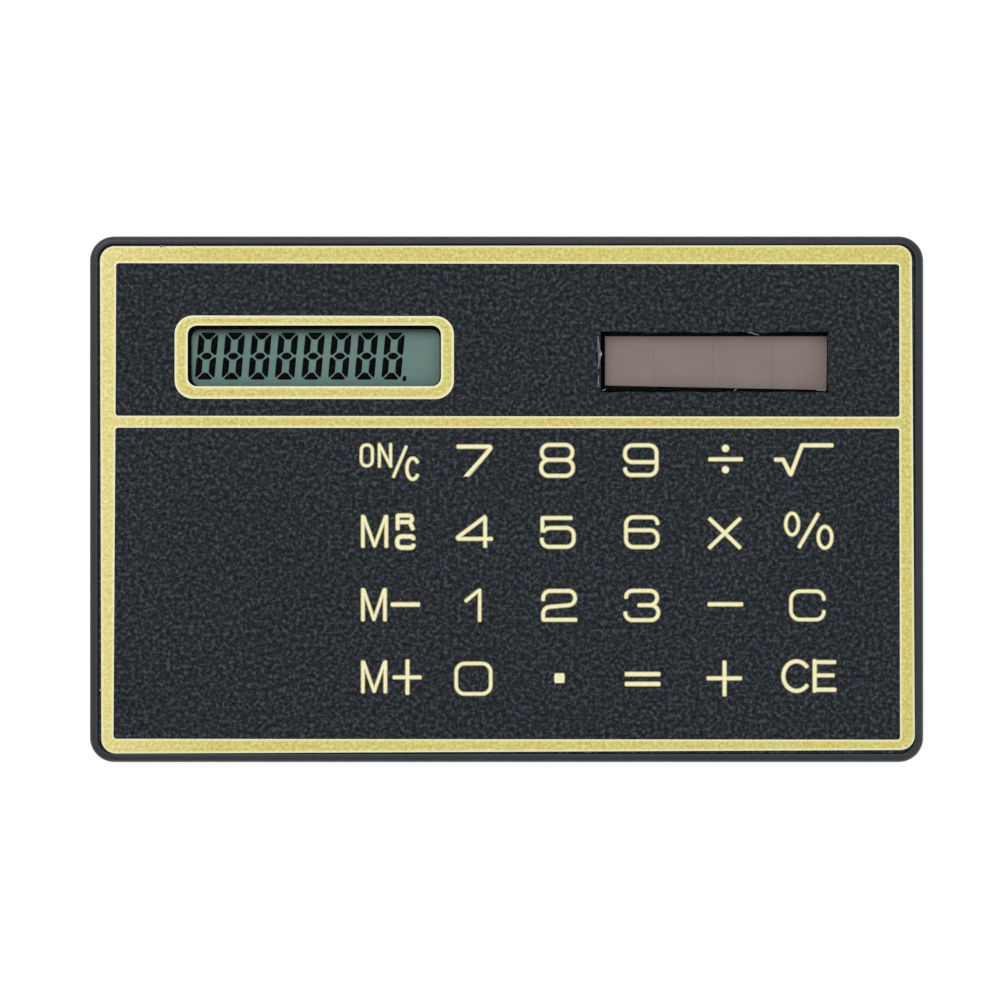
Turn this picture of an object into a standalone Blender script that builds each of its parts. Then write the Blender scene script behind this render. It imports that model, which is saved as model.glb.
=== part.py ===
"""Card-size solar calculator with an eight-digit display and 24 membrane keys.

The origin is the middle of the back face. +X runs along the length to the right, +Y runs across the
width towards the display, and +Z points out of the face. Sizes below are in millimetres.
"""
import math

import bmesh
import bpy

MM = 0.001

# Outside of the case, an identity-card outline
CASE_LENGTH = 85.6
CASE_WIDTH = 54.0
CASE_HEIGHT = 3.0
CASE_CORNER = 2.5
EDGE_ROUND = 0.6
RIM = 0.86            # from the outside edge to the wall of the film recess
LEDGE = 2.6           # from the outside edge to the wall of the board recess
COVER_RIM = 1.4       # from the outside edge to the wall of the back cover recess
RIB = 1.2             # width of the ribs under the board

# Levels of the layers, from the back face up: (bottom, top)
LAYER_GAP = 0.02
COVER_Z = (0.0, 0.45)
TAPE_Z = (0.47, 0.53)
POCKET_FLOOR = 0.55
BOARD_SEAT = 1.18
BOARD_Z = (1.20, 1.60)
SPACER_Z = (1.62, 2.00)
DECK_SEAT = 2.02
DECK_Z = (2.04, 2.52)
ADHESIVE_Z = (2.54, 2.58)
FILM_Z = (2.60, 2.85)
FILM_GAP = 0.05       # between the film and the wall of its recess
ADHESIVE_SETBACK = 0.1
SIDE_GAP = 0.08       # between the cover or the deck and the wall of its recess
BOARD_SIDE_GAP = 0.2  # between the board or the spacer and the wall of its recess
TAPE_SETBACK = 0.2
COVER_CHAMFER = 0.1
POCKET_CORNER = 0.4
CUTTER_OVERRUN = 0.3  # cutters reach this far past the surfaces that they open

# Keys
KEY_PITCH_X = 8.56
KEY_PITCH_Y = 7.47
FIRST_KEY_X = -11.9
FIRST_KEY_Y = 4.0
KEY_SIZE = (7.0, 6.0)
KEY_HOLE = (7.4, 6.4)
KEY_CORNER = 0.9
STEM_SIZE = (5.0, 4.2)
PILL_SIZE = (3.4, 3.0)
STEM_BOTTOM = 2.15
KEY_TRAVEL = 0.25
CONTACT_SIZE = (4.2, 3.6)
CONTACT_HEIGHT = 0.02
CONTACT_ROOT = 0.1
PRESSED_CLEARANCE = 0.03
SPACER_HOLE = (5.6, 4.8)
HIDDEN_HOLE_CORNER = 0.5

KEY_NAMES = (
    ("on_clear", "7", "8", "9", "divide", "square_root"),
    ("memory_recall", "4", "5", "6", "multiply", "percent"),
    ("memory_minus", "1", "2", "3", "minus", "clear"),
    ("memory_plus", "0", "decimal_point", "equals", "plus", "clear_entry"),
)

# Display
DISPLAY_CENTRE = (-19.7, 14.65)
DISPLAY_OPENING = (26.05, 6.22)
DISPLAY_CORNER = 0.95
LENS_SIZE = (28.6, 8.5)
LENS_Z = (2.10, 2.50)
LENS_CORNER = 0.8
WINDOW_CLEARANCE = 0.12
LCD_SIZE = (31.6, 9.2)
LCD_LEDGE = 1.3       # the rear glass reaches this far below the front glass, for the contacts
POLARIZER_SIZE = (30.4, 8.2)
GLASS_CORNER = 0.15
SEAL_SETBACK = 0.2
SEAL_WIDTH = 0.8
LCD_TAPE_SIZE = (26.0, 5.0)
REAR_POLARIZER_Z = (0.56, 0.66)
REAR_GLASS_Z = (0.68, 1.06)
SEAL_Z = (1.08, 1.12)
FRONT_GLASS_Z = (1.14, 1.56)
FRONT_POLARIZER_Z = (1.58, 1.74)
RIBBON_Z = (1.08, 1.18)
RIBBON_LENGTH = 4.6
RIBBON_START = 0.2    # below the lower edge of the front glass
RIBBON_CLEARANCE = 0.5
BAY_CLEARANCE = 0.3

# Solar cell
SOLAR_CENTRE = (21.37, 14.09)
SOLAR_WINDOW = (23.27, 6.26)
CELL_CENTRE = (21.5, 14.07)
CELL_SIZE = (22.8, 5.9)
CELL_LAYER_Z = (1.36, 1.44)
CELL_GLASS_Z = (1.46, 2.26)
CELL_PAD_SIZE = (17.0, 5.0)
CELL_PAD_Z = (0.47, 1.34)
CELL_CORNER = 0.12
CELL_LAYER_SETBACK = 0.1
CELL_BAY_CLEARANCE = 0.06

# Rib under the gold divider line, and the two levels of the ribs beside the keys
DIVIDER_Y = 7.9
UPPER_RIB_X = -0.9
LOWER_RIBS_X = (-17.0, 9.7)

# Wiring
WIRE_RADIUS = 0.2
WIRE_Z = 0.9
WIRE_SIDES_LEVEL = 2
WIRE_BEND = 1.2
SOLDER_RADIUS = 0.55
SOLDER_GAP = 0.04
SOLDER_TIP = 0.6      # the bead's lower face, as a part of its radius
CELL_JOINT_INSET = 1.2
BOARD_JOINT_X = 4.6
NEGATIVE_WIRE_RISE = 4.6

# Components under the board
CHIP_CENTRE = (-28.5, -4.0)
CHIP_RADIUS = 4.2
CHIP_HEIGHT = 0.55
CHIP_RIM = 0.2        # height of the dome's edge, as a part of the dome
SMALL_PARTS = (       # name, centre, size, height, colour, roughness
    ("storage_capacitor", (-3.4, -7.2), (3.2, 1.6), 0.6, (0.45, 0.30, 0.12), 0.4),
    ("filter_capacitor", (2.2, -7.2), (1.6, 0.8), 0.5, (0.40, 0.36, 0.32), 0.4),
    ("resistor", (5.4, -7.2), (1.6, 0.8), 0.4, (0.03, 0.03, 0.03), 0.5),
    ("clamp_diode", (4.6, 3.2), (2.0, 1.25), 0.6, (0.05, 0.05, 0.05), 0.5),
)
PART_CORNER = 0.12
SMOOTH_BELOW = 40     # degrees between faces that are shaded as one surface


def clear_scene():
    for old in list(bpy.data.objects):
        bpy.data.objects.remove(old, do_unlink=True)


def material(name, colour, roughness, metallic=0.0):
    """A plain finish for one sub-part."""
    made = bpy.data.materials.new(name)
    made.use_nodes = True
    shader = made.node_tree.nodes["Principled BSDF"]
    shader.inputs["Base Color"].default_value = (*colour, 1.0)
    shader.inputs["Roughness"].default_value = roughness
    shader.inputs["Metallic"].default_value = metallic
    made.diffuse_color = (*colour, 1.0)
    return made


def rounded_rectangle(centre, size, radius, segments=2):
    """Points of a rounded rectangle, anticlockwise, from the lower right corner."""
    half_x = size[0] / 2 - radius
    half_y = size[1] / 2 - radius
    corners = ((half_x, -half_y, -90), (half_x, half_y, 0), (-half_x, half_y, 90), (-half_x, -half_y, 180))
    points = []
    for corner_x, corner_y, start in corners:
        for step in range(segments + 1):
            angle = math.radians(start + 90 * step / segments)
            x = centre[0] + corner_x + radius * math.cos(angle)
            y = centre[1] + corner_y + radius * math.sin(angle)
            points.append((x, y))
    return points


def circle(centre, radius, sides=12):
    turn = 2 * math.pi / sides
    return [
        (centre[0] + radius * math.cos(turn * k), centre[1] + radius * math.sin(turn * k))
        for k in range(sides)
    ]


def grown(size, margin):
    """A width and height, larger by margin on every side."""
    return (size[0] + 2 * margin, size[1] + 2 * margin)


def new_object(name, bm, finish, origin=(0.0, 0.0, 0.0), smooth=False):
    """Turn a bmesh in millimetres into an object in metres with its origin at the given place."""
    for vertex in bm.verts:
        for axis in range(3):
            vertex.co[axis] = (vertex.co[axis] - origin[axis]) * MM
    bmesh.ops.recalc_face_normals(bm, faces=bm.faces[:])
    mesh = bpy.data.meshes.new(name)
    bm.to_mesh(mesh)
    bm.free()
    if finish:
        mesh.materials.append(finish)
    if smooth:
        mesh.shade_smooth()
        mesh.set_sharp_from_angle(angle=math.radians(SMOOTH_BELOW))
    made = bpy.data.objects.new(name, mesh)
    made.location = [value * MM for value in origin]
    bpy.context.scene.collection.objects.link(made)
    return made


def lofted(name, rings, finish, origin=(0.0, 0.0, 0.0)):
    """A closed body through rings of (points, height), all with the same number of points."""
    bm = bmesh.new()
    loops = [[bm.verts.new((x, y, z)) for x, y in points] for points, z in rings]
    for lower, upper in zip(loops, loops[1:]):
        count = len(lower)
        for k in range(count):
            following = (k + 1) % count
            bm.faces.new((lower[k], lower[following], upper[following], upper[k]))
    bm.faces.new(list(reversed(loops[0])))
    bm.faces.new(loops[-1])
    return new_object(name, bm, finish, origin, smooth=True)


def sheet(name, outline, holes, levels, finish):
    """A flat sheet with holes, between two levels."""
    bottom, top = levels
    bm = bmesh.new()
    edges = []
    for loop in [outline, *holes]:
        corners = [bm.verts.new((x, y, bottom)) for x, y in loop]
        for first, second in zip(corners, corners[1:] + corners[:1]):
            edges.append(bm.edges.new((first, second)))
    bmesh.ops.triangle_fill(bm, use_beauty=True, use_dissolve=False, edges=edges, normal=(0, 0, 1))
    raised = bmesh.ops.extrude_face_region(bm, geom=bm.faces[:])
    lifted = [item for item in raised["geom"] if isinstance(item, bmesh.types.BMVert)]
    bmesh.ops.translate(bm, verts=lifted, vec=(0, 0, top - bottom))
    return new_object(name, bm, finish)


def plate(name, centre, size, radius, levels, finish, segments=2):
    """A solid flat plate with rounded corners."""
    outline = rounded_rectangle(centre, size, radius, segments)
    return lofted(name, [(outline, levels[0]), (outline, levels[1])], finish)


def cut(target, cutter):
    """Take a cutter's volume out of a target, and keep the cutter out of the assembly."""
    cutter.hide_render = True
    cutter.display_type = "WIRE"
    boolean = target.modifiers.new(cutter.name, "BOOLEAN")
    boolean.operation = "DIFFERENCE"
    boolean.solver = "EXACT"
    boolean.object = cutter


def span(low, high):
    """The centre and the length of an interval."""
    return (low + high) / 2, high - low


def key_places():
    """Each key's name and the middle of its zone, row by row from the top left."""
    for row, names in enumerate(KEY_NAMES):
        for column, name in enumerate(names):
            x = FIRST_KEY_X + KEY_PITCH_X * column
            y = FIRST_KEY_Y - KEY_PITCH_Y * row
            yield name, (x, y)


def key_holes(size, radius, segments):
    return [rounded_rectangle(place, size, radius, segments) for _, place in key_places()]


def case_block(finish):
    """The solid outside form: vertical sides with both edges rounded over a quarter circle."""
    steps = 5
    rings = []
    for sign in (-1, 1):
        for step in range(steps + 1):
            angle = math.radians(90 * step / steps)
            if sign < 0:
                inset = EDGE_ROUND * (1 - math.sin(angle))
                z = EDGE_ROUND * (1 - math.cos(angle))
            else:
                inset = EDGE_ROUND * (1 - math.cos(angle))
                z = CASE_HEIGHT - EDGE_ROUND * (1 - math.sin(angle))
            size = grown((CASE_LENGTH, CASE_WIDTH), -inset)
            rings.append((rounded_rectangle((0, 0), size, CASE_CORNER - inset, 6), z))
    return lofted("case_frame", rings, finish)


def recess(name, margin, bottom, top):
    """A cutter for a recess that follows the case outline at a distance from it."""
    size = grown((CASE_LENGTH, CASE_WIDTH), -margin)
    radius = max(CASE_CORNER - margin, 0.5)
    return plate(name, (0, 0), size, radius, (bottom, top), None, 4)


def box_cutter(name, x_range, y_range, z_range):
    x, width = span(*x_range)
    y, depth = span(*y_range)
    return plate(name, (x, y), (width, depth), POCKET_CORNER, z_range, None)


def ribbon_place():
    """The centre and size of the ribbon, from the ledge of the rear glass to under the board."""
    top = DISPLAY_CENTRE[1] - LCD_SIZE[1] / 2 - RIBBON_START
    return (DISPLAY_CENTRE[0], top - RIBBON_LENGTH / 2), (POLARIZER_SIZE[0], RIBBON_LENGTH)


def case_frame(finish):
    frame = case_block(finish)
    above = CASE_HEIGHT + CUTTER_OVERRUN
    cut(frame, recess("cutter_film_recess", RIM, DECK_SEAT, above))
    cut(frame, recess("cutter_board_recess", LEDGE, BOARD_SEAT, above))
    cut(frame, recess("cutter_cover_recess", COVER_RIM, -CUTTER_OVERRUN, POCKET_FLOOR))
    inner_x = CASE_LENGTH / 2 - LEDGE
    inner_y = CASE_WIDTH / 2 - LEDGE
    pocket_z = (POCKET_FLOOR - CUTTER_OVERRUN, BOARD_SEAT + CUTTER_OVERRUN)
    upper_y = (DIVIDER_Y + RIB / 2, inner_y)
    lower_y = (-inner_y, DIVIDER_Y - RIB / 2)
    upper_edges = (-inner_x, UPPER_RIB_X, inner_x)
    lower_edges = (-inner_x, *LOWER_RIBS_X, inner_x)
    for row, edges, y_range in (("upper", upper_edges, upper_y), ("lower", lower_edges, lower_y)):
        for number, (left, right) in enumerate(zip(edges, edges[1:]), 1):
            left_side = left + (RIB / 2 if left > -inner_x else 0)
            right_side = right - (RIB / 2 if right < inner_x else 0)
            name = f"cutter_{row}_pocket_{number}"
            cut(frame, box_cutter(name, (left_side, right_side), y_range, pocket_z))
    centre, size = ribbon_place()
    notch = grown(size, RIBBON_CLEARANCE)
    notch_z = (RIBBON_Z[0] - 5 * LAYER_GAP, BOARD_SEAT + CUTTER_OVERRUN)
    cut(frame, plate("cutter_ribbon_notch", centre, notch, POCKET_CORNER, notch_z, None))
    return frame


def back_cover(finish):
    """A thin plate with a small chamfer round its outside face, and the tape ring that holds it."""
    size = grown((CASE_LENGTH, CASE_WIDTH), -COVER_RIM - SIDE_GAP)
    radius = CASE_CORNER - COVER_RIM
    small = rounded_rectangle((0, 0), grown(size, -COVER_CHAMFER), radius - COVER_CHAMFER, 4)
    full = rounded_rectangle((0, 0), size, radius, 4)
    rings = [(small, COVER_Z[0]), (full, COVER_Z[0] + COVER_CHAMFER), (full, COVER_Z[1])]
    return lofted("back_cover", rings, finish)


def cover_tape(finish):
    outer = grown((CASE_LENGTH, CASE_WIDTH), -COVER_RIM - TAPE_SETBACK)
    inner = grown((CASE_LENGTH, CASE_WIDTH), -LEDGE - FILM_GAP)
    hole = rounded_rectangle((0, 0), inner, POCKET_CORNER)
    outline = rounded_rectangle((0, 0), outer, CASE_CORNER - COVER_RIM - TAPE_SETBACK)
    return sheet("cover_tape", outline, [hole], TAPE_Z, finish)


def lcd_bay():
    """The opening in board and spacer that the front of the LCD stands in."""
    return rounded_rectangle(DISPLAY_CENTRE, grown(LCD_SIZE, BAY_CLEARANCE), BAY_CLEARANCE, 1)


def solar_bay():
    """The opening in board and spacer that fits close round the solar cell."""
    return rounded_rectangle(CELL_CENTRE, grown(CELL_SIZE, CELL_BAY_CLEARANCE), CELL_CORNER, 1)


def board_outline():
    size = grown((CASE_LENGTH, CASE_WIDTH), -LEDGE - BOARD_SIDE_GAP)
    return rounded_rectangle((0, 0), size, BOARD_SIDE_GAP + POCKET_CORNER)


def main_board(finish):
    """The circuit board, with a raised carbon contact pad under each key."""
    board = sheet("main_board", board_outline(), [lcd_bay(), solar_bay()], BOARD_Z, finish)
    for name, place in key_places():
        levels = (BOARD_Z[1] - CONTACT_ROOT, BOARD_Z[1] + CONTACT_HEIGHT)
        pad = plate("guide_contact_" + name, place, CONTACT_SIZE, HIDDEN_HOLE_CORNER, levels, None, 1)
        pad.hide_render = True
        pad.display_type = "WIRE"
        union = board.modifiers.new(pad.name, "BOOLEAN")
        union.operation = "UNION"
        union.solver = "EXACT"
        union.object = pad
    return board


def key_spacer(finish):
    holes = [lcd_bay(), solar_bay(), *key_holes(SPACER_HOLE, HIDDEN_HOLE_CORNER, 1)]
    return sheet("key_spacer", board_outline(), holes, SPACER_Z, finish)


def key_deck(finish):
    size = grown((CASE_LENGTH, CASE_WIDTH), -RIM - SIDE_GAP)
    lens_bay = rounded_rectangle(DISPLAY_CENTRE, grown(LENS_SIZE, WINDOW_CLEARANCE), LENS_CORNER)
    solar_window = rounded_rectangle(SOLAR_CENTRE, grown(SOLAR_WINDOW, WINDOW_CLEARANCE), CELL_CORNER, 1)
    outline = rounded_rectangle((0, 0), size, CASE_CORNER - RIM, 4)
    holes = [lens_bay, solar_window, *key_holes(KEY_HOLE, HIDDEN_HOLE_CORNER, 1)]
    return sheet("key_deck", outline, holes, DECK_Z, finish)


def front_layer(name, setback, holes, levels, finish):
    """The printed film, or the adhesive sheet, which is set back a little from all the film's edges."""
    size = grown((CASE_LENGTH, CASE_WIDTH), -RIM - FILM_GAP - setback)
    display = rounded_rectangle(DISPLAY_CENTRE, grown(DISPLAY_OPENING, setback), DISPLAY_CORNER, 3)
    solar = rounded_rectangle(SOLAR_CENTRE, grown(SOLAR_WINDOW, setback), CELL_CORNER, 1)
    outline = rounded_rectangle((0, 0), size, CASE_CORNER - RIM, 4)
    return sheet(name, outline, [display, solar, *holes], levels, finish)


def key(name, place, finish):
    """One key: its zone of the film, the rubber stem under it and the contact pill at the bottom."""
    pill_bottom = BOARD_Z[1] + CONTACT_HEIGHT + PRESSED_CLEARANCE + KEY_TRAVEL
    zone = rounded_rectangle(place, KEY_SIZE, KEY_CORNER)
    stem = rounded_rectangle(place, STEM_SIZE, KEY_CORNER)
    pill = rounded_rectangle(place, PILL_SIZE, KEY_CORNER)
    rings = [
        (pill, pill_bottom),
        (pill, STEM_BOTTOM),
        (stem, STEM_BOTTOM),
        (stem, FILM_Z[0]),
        (zone, FILM_Z[0]),
        (zone, FILM_Z[1]),
    ]
    return lofted("key_" + name, rings, finish, (*place, FILM_Z[1]))


def display(finishes):
    """The lens and the layers of the LCD, from the front to the back, with ribbon and tape."""
    x, y = DISPLAY_CENTRE
    corner = GLASS_CORNER
    plate("display_window", DISPLAY_CENTRE, LENS_SIZE, LENS_CORNER, LENS_Z, finishes["clear"])
    polarizer = finishes["polarizer"]
    plate("lcd_front_polarizer", DISPLAY_CENTRE, POLARIZER_SIZE, corner, FRONT_POLARIZER_Z, polarizer, 1)
    plate("lcd_front_glass", DISPLAY_CENTRE, LCD_SIZE, corner, FRONT_GLASS_Z, finishes["glass"], 1)
    seal_size = grown(LCD_SIZE, -SEAL_SETBACK)
    seal_outside = rounded_rectangle(DISPLAY_CENTRE, seal_size, BAY_CLEARANCE, 1)
    seal_inside = rounded_rectangle(DISPLAY_CENTRE, grown(seal_size, -SEAL_WIDTH), BAY_CLEARANCE, 1)
    sheet("lcd_seal", seal_outside, [seal_inside], SEAL_Z, finishes["seal"])
    rear_centre = (x, y - LCD_LEDGE / 2)
    rear_size = (LCD_SIZE[0], LCD_SIZE[1] + LCD_LEDGE)
    plate("lcd_rear_glass", rear_centre, rear_size, corner, REAR_GLASS_Z, finishes["glass"], 1)
    reflector = finishes["reflector"]
    plate("lcd_rear_polarizer", DISPLAY_CENTRE, POLARIZER_SIZE, corner, REAR_POLARIZER_Z, reflector, 1)
    plate("lcd_ribbon", *ribbon_place(), corner, RIBBON_Z, finishes["ribbon"], 1)
    plate("lcd_tape", DISPLAY_CENTRE, LCD_TAPE_SIZE, corner, TAPE_Z, finishes["tape"], 1)


def wire(name, route, finish):
    """A round insulated wire along a route in the plane of the wiring."""
    curve = bpy.data.curves.new(name, "CURVE")
    curve.dimensions = "3D"
    curve.bevel_depth = WIRE_RADIUS * MM
    curve.bevel_resolution = WIRE_SIDES_LEVEL
    curve.use_fill_caps = True
    curve.materials.append(finish)
    spline = curve.splines.new("POLY")
    spline.points.add(len(route) - 1)
    for point, (x, y) in zip(spline.points, route):
        point.co = (x * MM, y * MM, WIRE_Z * MM, 1.0)
    made = bpy.data.objects.new(name, curve)
    bpy.context.scene.collection.objects.link(made)
    return made


def rounded_route(corners, radius, steps=4):
    """A route through corners, with each inner corner turned into a smooth bend."""
    route = [corners[0]]
    for before, corner, after in zip(corners, corners[1:], corners[2:]):
        ends = []
        for other in (before, after):
            length = math.dist(corner, other)
            ends.append([c + (o - c) * radius / length for c, o in zip(corner, other)])
        for step in range(steps + 1):
            t = step / steps
            start, middle, end = (1 - t) ** 2, 2 * t * (1 - t), t**2
            points = zip(ends[0], corner, ends[1])
            route.append([start * a + middle * b + end * c for a, b, c in points])
    route.append(corners[-1])
    return route


def solder(name, place, top, finish):
    """A domed bead of solder that hangs from a surface and takes the end of a wire in its side."""
    bottom = WIRE_Z - WIRE_RADIUS - SOLDER_GAP
    rings = [
        (circle(place, SOLDER_RADIUS * SOLDER_TIP), bottom),
        (circle(place, SOLDER_RADIUS), WIRE_Z - WIRE_RADIUS / 2),
        (circle(place, SOLDER_RADIUS), top),
    ]
    return lofted(name, rings, finish)


def solar_cell(finishes):
    """The cell's glass, its silicon layer with back paint, the foam pad under it and its two wires."""
    layer_size = grown(CELL_SIZE, -CELL_LAYER_SETBACK)
    plate("solar_cell_glass", CELL_CENTRE, CELL_SIZE, CELL_CORNER, CELL_GLASS_Z, finishes["glass"], 1)
    plate("solar_cell_layer", CELL_CENTRE, layer_size, CELL_CORNER, CELL_LAYER_Z, finishes["silicon"], 1)
    plate("solar_cell_pad", CELL_CENTRE, CELL_PAD_SIZE, CELL_CORNER, CELL_PAD_Z, finishes["foam"], 1)
    x, y = CELL_CENTRE
    left_joint = (x - CELL_SIZE[0] / 2 + CELL_JOINT_INSET, y)
    right_joint = (x + CELL_SIZE[0] / 2 - CELL_JOINT_INSET, y)
    positive_pad = (BOARD_JOINT_X, y)
    negative_pad = (BOARD_JOINT_X, y + NEGATIVE_WIRE_RISE)
    reach = SOLDER_RADIUS + SOLDER_GAP
    positive_route = [(left_joint[0] - reach, y), (positive_pad[0] + reach, y)]
    bend = (right_joint[0], negative_pad[1])
    negative_route = [(right_joint[0], y + reach), bend, (negative_pad[0] + reach, negative_pad[1])]
    wire("solar_wire_positive", positive_route, finishes["red_wire"])
    wire("solar_wire_negative", rounded_route(negative_route, WIRE_BEND), finishes["black_wire"])
    cell_back = CELL_LAYER_Z[0] - LAYER_GAP
    board_back = BOARD_Z[0] - LAYER_GAP
    solder("cell_solder_positive", left_joint, cell_back, finishes["solder"])
    solder("cell_solder_negative", right_joint, cell_back, finishes["solder"])
    solder("board_solder_positive", positive_pad, board_back, finishes["solder"])
    solder("board_solder_negative", negative_pad, board_back, finishes["solder"])


def chip_blob(finish):
    """The drop of black epoxy over the chip, hanging from the board's underside."""
    top = BOARD_Z[0] - LAYER_GAP
    rings = []
    for part in (0.30, 0.62, 0.85, 1.0):
        depth = CHIP_HEIGHT * math.sqrt(max(1.0 - part**2, CHIP_RIM**2))
        rings.append((circle(CHIP_CENTRE, CHIP_RADIUS * part, 20), top - depth))
    rings.append((circle(CHIP_CENTRE, CHIP_RADIUS, 20), top))
    return lofted("chip_blob", rings, finish)


def small_parts():
    """The surface-mounted components on the board's underside."""
    top = BOARD_Z[0] - LAYER_GAP
    for name, centre, size, height, colour, roughness in SMALL_PARTS:
        finish = material(name + "_body", colour, roughness)
        plate(name, centre, size, PART_CORNER, (top - height, top), finish, 1)


def build():
    clear_scene()
    black = material("black_case_plastic", (0.035, 0.038, 0.042), 0.5)
    board = material("board_laminate", (0.05, 0.16, 0.07), 0.5)
    film = material("printed_film", (0.026, 0.030, 0.034), 0.6)
    tape = material("adhesive_tape", (0.75, 0.74, 0.70), 0.7)
    finishes = {
        "clear": material("clear_acrylic", (0.85, 0.88, 0.88), 0.08),
        "glass": material("display_glass", (0.70, 0.76, 0.74), 0.08),
        "polarizer": material("polarizer_film", (0.38, 0.43, 0.41), 0.25),
        "reflector": material("reflector_film", (0.30, 0.37, 0.34), 0.4),
        "seal": material("epoxy_seal", (0.60, 0.58, 0.50), 0.5),
        "ribbon": material("ribbon_foil", (0.55, 0.38, 0.16), 0.4),
        "tape": tape,
        "silicon": material("cell_silicon", (0.23, 0.18, 0.16), 0.4),
        "foam": material("foam_pad", (0.10, 0.10, 0.11), 0.95),
        "solder": material("solder_metal", (0.62, 0.63, 0.65), 0.35, 1.0),
        "red_wire": material("red_wire_insulation", (0.55, 0.03, 0.03), 0.45),
        "black_wire": material("black_wire_insulation", (0.02, 0.02, 0.02), 0.45),
    }
    case_frame(black)
    back_cover(material("back_cover_plastic", (0.035, 0.038, 0.042), 0.55))
    cover_tape(tape)
    main_board(board)
    key_spacer(material("spacer_sheet", (0.03, 0.03, 0.032), 0.6))
    key_deck(material("deck_plate", (0.08, 0.08, 0.09), 0.6))
    adhesive_holes = key_holes(KEY_HOLE, HIDDEN_HOLE_CORNER, 1)
    front_layer("film_adhesive", ADHESIVE_SETBACK, adhesive_holes, ADHESIVE_Z, tape)
    front_layer("face_film", 0.0, key_holes(KEY_HOLE, KEY_CORNER, 2), FILM_Z, film)
    key_finish = material("key_zone_film", (0.026, 0.030, 0.034), 0.6)
    for name, place in key_places():
        key(name, place, key_finish)
    display(finishes)
    solar_cell(finishes)
    chip_blob(material("chip_epoxy", (0.02, 0.02, 0.02), 0.45))
    small_parts()


build()
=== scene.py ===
import math

import bmesh
import bpy
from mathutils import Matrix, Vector
from mathutils.geometry import delaunay_2d_cdt


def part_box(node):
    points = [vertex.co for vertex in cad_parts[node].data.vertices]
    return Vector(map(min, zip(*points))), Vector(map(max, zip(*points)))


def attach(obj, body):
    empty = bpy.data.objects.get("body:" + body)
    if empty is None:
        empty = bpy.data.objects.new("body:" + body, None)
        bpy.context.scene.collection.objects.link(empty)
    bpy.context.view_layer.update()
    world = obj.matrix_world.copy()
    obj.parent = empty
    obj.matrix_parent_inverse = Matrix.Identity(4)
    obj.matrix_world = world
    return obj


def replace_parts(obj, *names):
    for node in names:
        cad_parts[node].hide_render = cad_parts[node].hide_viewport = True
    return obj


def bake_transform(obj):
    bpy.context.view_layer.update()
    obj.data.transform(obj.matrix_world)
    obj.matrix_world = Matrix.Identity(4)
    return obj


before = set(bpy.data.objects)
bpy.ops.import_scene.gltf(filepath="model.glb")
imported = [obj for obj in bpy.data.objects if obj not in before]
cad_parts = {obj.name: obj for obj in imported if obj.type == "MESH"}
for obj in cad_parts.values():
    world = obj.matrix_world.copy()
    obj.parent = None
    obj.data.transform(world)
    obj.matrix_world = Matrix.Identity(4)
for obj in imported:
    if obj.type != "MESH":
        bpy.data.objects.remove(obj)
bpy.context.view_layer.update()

MM = 0.001

# ---- Sizes, in millimetres, in the frame of the CAD model ----


def box_mm(node):
    """The lowest and highest corners of a CAD node, in millimetres."""
    low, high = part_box(node)
    return low / MM, high / MM


def middle(node):
    low, high = box_mm(node)
    return ((low.x + high.x) / 2, (low.y + high.y) / 2)


def extent(node):
    low, high = box_mm(node)
    return (high.x - low.x, high.y - low.y)


def levels(node):
    low, high = box_mm(node)
    return (low.z, high.z)


CASE_SIZE = extent("case_frame")
CASE_TOP = levels("case_frame")[1]
CASE_CORNER = 2.5
EDGE_ROUND = 0.6          # radius of the case's outside edges
RIM = 0.86                # width of the case seen round the film
LEDGE = 2.6               # from the outside to the hollow inside
COVER_RIM = 1.4           # from the outside to the back cover
POCKET_FLOOR = 0.55       # height of the seat that the back cover is taped to
DECK_SEAT = 2.02          # height of the seat that the key deck lies on
RIB = 1.2                 # width of the ribs inside
DIVIDER_Y = 7.9           # middle of the rib under the printed divider

FILM_SIZE = extent("face_film")
FILM_BOTTOM, FILM_TOP = levels("face_film")
FILM_CORNER = CASE_CORNER - RIM
DISPLAY_CENTRE = (middle("display_window")[0] - 0.04, middle("display_window")[1] + 0.07)
DISPLAY_OPENING = (26.02, 6.24)
DISPLAY_CORNER = 0.95
SOLAR_CENTRE = (21.33, 14.09)
SOLAR_WINDOW = (23.35, 6.26)

KEY_HOLE = (7.4, 6.4)
KEY_CORNER = 0.9
RAMP = (0.45, 0.8)        # width of the slope round a key zone, at its sides and at its top and bottom
RAMP_STEPS = 10
CROWN = 0.004             # a key zone stands this much proud of the film round it
INK = 0.014               # thickness of the print
INK_EDGE = 0.3            # width of its lighter edges
STROKE = 0.42             # usual width of a legend's strokes
STROKE_END = 0.12         # how far a stroke reaches past its last point
INK_SPREAD = 0.08         # how much wider than its stroke the thin ink of a legend is
INK_CORE = 0.1            # how much narrower its full ink is

KEY_ROWS = (
    ("on_clear", "7", "8", "9", "divide", "square_root"),
    ("memory_recall", "4", "5", "6", "multiply", "percent"),
    ("memory_minus", "1", "2", "3", "minus", "clear"),
    ("memory_plus", "0", "decimal_point", "equals", "plus", "clear_entry"),
)

# ---- Materials ----


def srgb(red, green, blue):
    """A colour given in 0 to 255 display values, as linear light."""
    return tuple(
        c / 12.92 if c <= 0.04045 else ((c + 0.055) / 1.055) ** 2.4
        for c in (red / 255, green / 255, blue / 255)
    )


def grey(value):
    return (value, value, value)


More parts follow.
